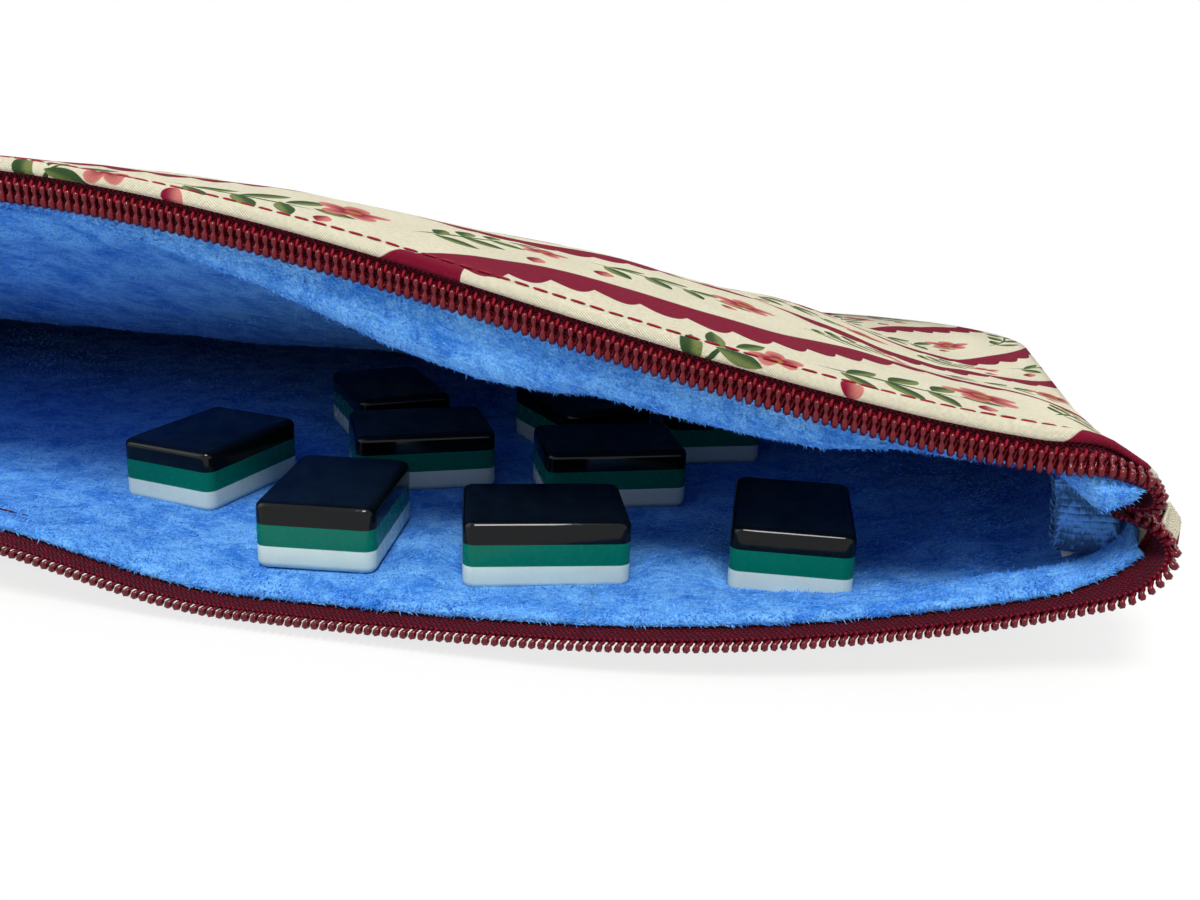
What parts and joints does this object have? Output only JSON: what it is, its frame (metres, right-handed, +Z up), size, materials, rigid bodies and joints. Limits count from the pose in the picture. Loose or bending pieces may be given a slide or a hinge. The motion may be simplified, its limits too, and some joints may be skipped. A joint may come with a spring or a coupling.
{
  "type": "mahjong case",
  "caption": "Soft padded zip case lying open, with plush lining, full-width zip with slider and pull, corner tabs, and loose mahjong tiles inside.",
  "frame": {"origin": "middle of the case's footprint, on the surface it lies on", "axes": "+X along the mouth, -Y out of the mouth, +Z up from the panel it lies on"},
  "size_m": [0.4324, 0.2441, 0.0785],
  "materials": {
    "canvas": "twill",
    "wadding": "loose",
    "plush": "short pile",
    "knit": "ribbed knit",
    "zip_tape": "woven",
    "zip_nylon": "satin",
    "slider_metal": "satin",
    "tile_face": "gloss",
    "tile_core": "gloss",
    "tile_back": "gloss"
  },
  "bodies": {
    "base": {"lower_shell": "canvas", "lower_wadding": "wadding", "lower_lining": "plush", "bottom_stop": "zip_tape", "corner_tab_left": "knit", "corner_tab_right": "knit"},
    "lower_lip": {"lower_zip_tape": "zip_tape", "lower_zip_teeth": "zip_nylon"},
    "top_panel": {"upper_shell": "canvas", "upper_wadding": "wadding", "upper_lining": "plush", "upper_zip_tape": "zip_tape", "upper_zip_teeth": "zip_nylon"},
    "slider": {"slider_body": "slider_metal", "slider_bridge": "slider_metal"},
    "pull": {"slider_pull": "slider_metal"},
    "tiles": {"tile_1_face": "tile_face", "tile_1_core": "tile_core", "tile_1_back": "tile_back", "tile_2_face": "tile_face", "tile_2_core": "tile_core", "tile_2_back": "tile_back", "tile_3_face": "tile_face", "tile_3_core": "tile_core", "tile_3_back": "tile_back", "tile_4_face": "tile_face", "tile_4_core": "tile_core", "tile_4_back": "tile_back", "tile_5_face": "tile_face", "tile_5_core": "tile_core", "tile_5_back": "tile_back", "tile_6_face": "tile_face", "tile_6_core": "tile_core", "tile_6_back": "tile_back", "tile_7_face": "tile_face", "tile_7_core": "tile_core", "tile_7_back": "tile_back", "tile_8_face": "tile_face", "tile_8_core": "tile_core", "tile_8_back": "tile_back", "tile_9_face": "tile_face", "tile_9_core": "tile_core", "tile_9_back": "tile_back"}
  },
  "joints": [
    {"name": "mouth_close", "type": "hinge", "parent": "base", "child": "top_panel", "pos_m": [0, 0.12221, 0.016], "axis": [1, 0, 0], "range_deg": [0, 10.8], "deforming": ["upper_shell", "upper_wadding", "upper_lining", "upper_zip_tape", "upper_zip_teeth"]},
    {"name": "lip_lift", "type": "hinge", "parent": "base", "child": "lower_lip", "pos_m": [0, -0.07079, 0], "axis": [-1, 0, 0], "range_deg": [0, 28], "deforming": ["lower_zip_tape", "lower_zip_teeth"]},
    {"name": "zip_travel", "type": "slide", "parent": "base", "child": "slider", "axis": [1, 0, 0], "range_m": [0, 0.406]},
    {"name": "pull_swing", "type": "hinge", "parent": "slider", "child": "pull", "pos_m": [-0.2035, -0.09239, 0.028], "axis": [0, 0, -1], "range_deg": [0, 180]},
    {"name": "tiles_out", "type": "slide", "parent": "base", "child": "tiles", "axis": [0, -0.9962, 0.0872], "range_m": [0, 0.15]}
  ],
  "couplings": [
    {"joint": "lip_lift", "follows": "mouth_close", "ratio": 2.5926},
    {"joint": "zip_travel", "follows": "mouth_close", "m_per_rad": 2.1512}
  ]
}
